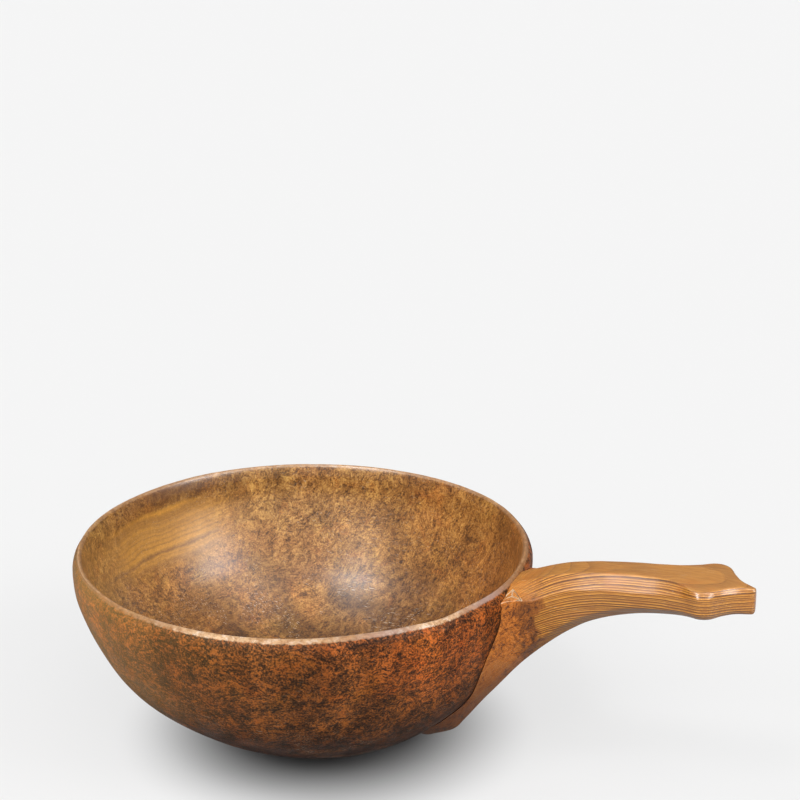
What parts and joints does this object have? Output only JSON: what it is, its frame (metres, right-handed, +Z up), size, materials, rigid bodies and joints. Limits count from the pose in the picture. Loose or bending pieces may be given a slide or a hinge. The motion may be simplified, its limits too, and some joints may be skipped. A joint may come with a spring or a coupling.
{
  "type": "kuksa wooden cup",
  "caption": "Wide round-bottomed burl wood drinking bowl with a carved, faceted handle scribed and pegged to its side, ending in a shouldered point.",
  "frame": {"origin": "centre of the flat that the bowl stands on, at its underside", "axes": "+X along the handle from the bowl to its tip, +Z up, +Y to the left when looking along the handle"},
  "size_m": [0.298, 0.2, 0.0998],
  "materials": {
    "burl_bowl": "oiled and worn burl, red-brown with dark mottling, satin",
    "handle_wood": "hand-polished honey-brown stem wood with fine dark growth rings, satin",
    "peg_wood": "trimmed end grain, oiled"
  },
  "bodies": {
    "root": {"bowl": "burl_bowl", "handle": "handle_wood", "handle_peg_left": "peg_wood", "handle_peg_right": "peg_wood", "handle_peg_lower": "peg_wood"}
  },
  "joints": []
}
